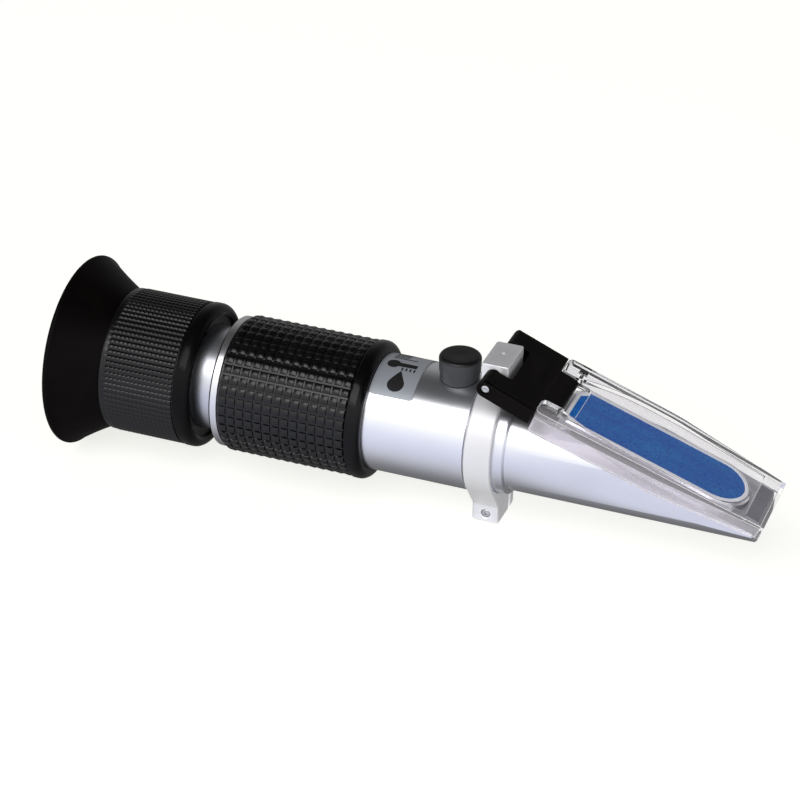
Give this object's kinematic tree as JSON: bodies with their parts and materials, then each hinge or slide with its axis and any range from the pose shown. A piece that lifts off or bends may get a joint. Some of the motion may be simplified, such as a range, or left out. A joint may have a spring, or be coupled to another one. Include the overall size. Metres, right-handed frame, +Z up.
{
  "type": "refractometer",
  "caption": "Hand-held refractometer with a focusing eyepiece, a ribbed grip, a calibration screw under a cap, and a slanted prism under a hinged clear plate.",
  "frame": {"origin": "middle of the flat foot under the clamp, where the instrument rests", "axes": "+X along the instrument from the eyepiece to the prism, +Z up through the hinge"},
  "size_m": [0.1499, 0.0402, 0.0402],
  "materials": {
    "eyecup_rubber": "matte",
    "grip_rubber": "semi-gloss",
    "cap_rubber": "satin",
    "seal_rubber": "satin",
    "black_plastic": "satin",
    "satin_aluminium": "satin anodised",
    "cast_alloy": "satin",
    "clamp_alloy": "satin",
    "black_anodised": "matte anodised",
    "steel": "bright",
    "brass": "turned",
    "lens_glass": "polished",
    "blue_glass": "polished, blue under the daylight plate",
    "clear_acrylic": "clear",
    "grey_label": "satin",
    "white_sealant": "satin",
    "dark_grey": "matte"
  },
  "bodies": {
    "barrel": {"main_tube": "satin_aluminium", "grip_retaining_ring": "satin_aluminium", "grip_sleeve": "grip_rubber", "label_band": "grey_label", "reticle_holder": "black_anodised", "reticle_disc": "lens_glass", "reticle_retaining_ring": "black_anodised", "light_baffle": "black_anodised", "bimetal_strip": "brass", "bimetal_foot": "brass", "bimetal_screw": "steel", "calibration_bush": "brass", "prism_housing": "cast_alloy", "measuring_prism": "blue_glass", "prism_seal": "white_sealant", "prism_end_plate": "dark_grey", "housing_seal_ring": "seal_rubber", "clamp_ring": "clamp_alloy", "clamp_screw": "steel", "hinge_bush_near": "steel", "hinge_bush_far": "steel"},
    "focus_carriage": {"damping_ring": "seal_rubber"},
    "eyepiece": {"eyecup": "eyecup_rubber", "focus_ring": "black_plastic", "eyepiece_tube": "satin_aluminium", "eye_lens": "lens_glass", "field_lens": "lens_glass", "lens_spacer": "black_anodised", "lens_retaining_ring": "black_anodised"},
    "calibration_screw": {"calibration_screw": "steel"},
    "calibration_cap": {"calibration_cap": "cap_rubber"},
    "lens_cell": {"objective_cell": "black_anodised", "objective_lens": "lens_glass", "objective_retainer": "black_anodised"},
    "cover": {"plate_holder": "black_plastic", "daylight_plate": "clear_acrylic", "plate_cross_pin": "steel", "hinge_pin": "steel"}
  },
  "joints": [
    {"name": "focus_travel", "type": "slide", "parent": "barrel", "child": "focus_carriage", "axis": [1, 0, 0], "range_m": [-0.0015, 0.0035]},
    {"name": "focus_turn", "type": "hinge", "parent": "focus_carriage", "child": "eyepiece", "pos_m": [-0.07, 0, 0.0181], "axis": [1, 0, 0], "range_deg": [-90, 210]},
    {"name": "calibration_turn", "type": "hinge", "parent": "barrel", "child": "calibration_screw", "pos_m": [-0.0081, 0, 0.0306], "axis": [0, 0, 1], "range_deg": [-180, 180]},
    {"name": "lens_cell_lift", "type": "slide", "parent": "barrel", "child": "lens_cell", "axis": [0, 0, 1], "range_m": [-0.00025, 0.00025]},
    {"name": "cap_pull", "type": "slide", "parent": "barrel", "child": "calibration_cap", "axis": [0, 0, 1], "range_m": [0, 0.012]},
    {"name": "cover_swing", "type": "hinge", "parent": "barrel", "child": "cover", "pos_m": [0.00095, 0, 0.0349], "axis": [0, -1, 0], "range_deg": [0, 115]}
  ],
  "couplings": [
    {"joint": "focus_travel", "follows": "focus_turn", "m_per_rad": 0.000954},
    {"joint": "calibration_turn", "follows": "lens_cell_lift", "rad_per_m": 12560}
  ]
}
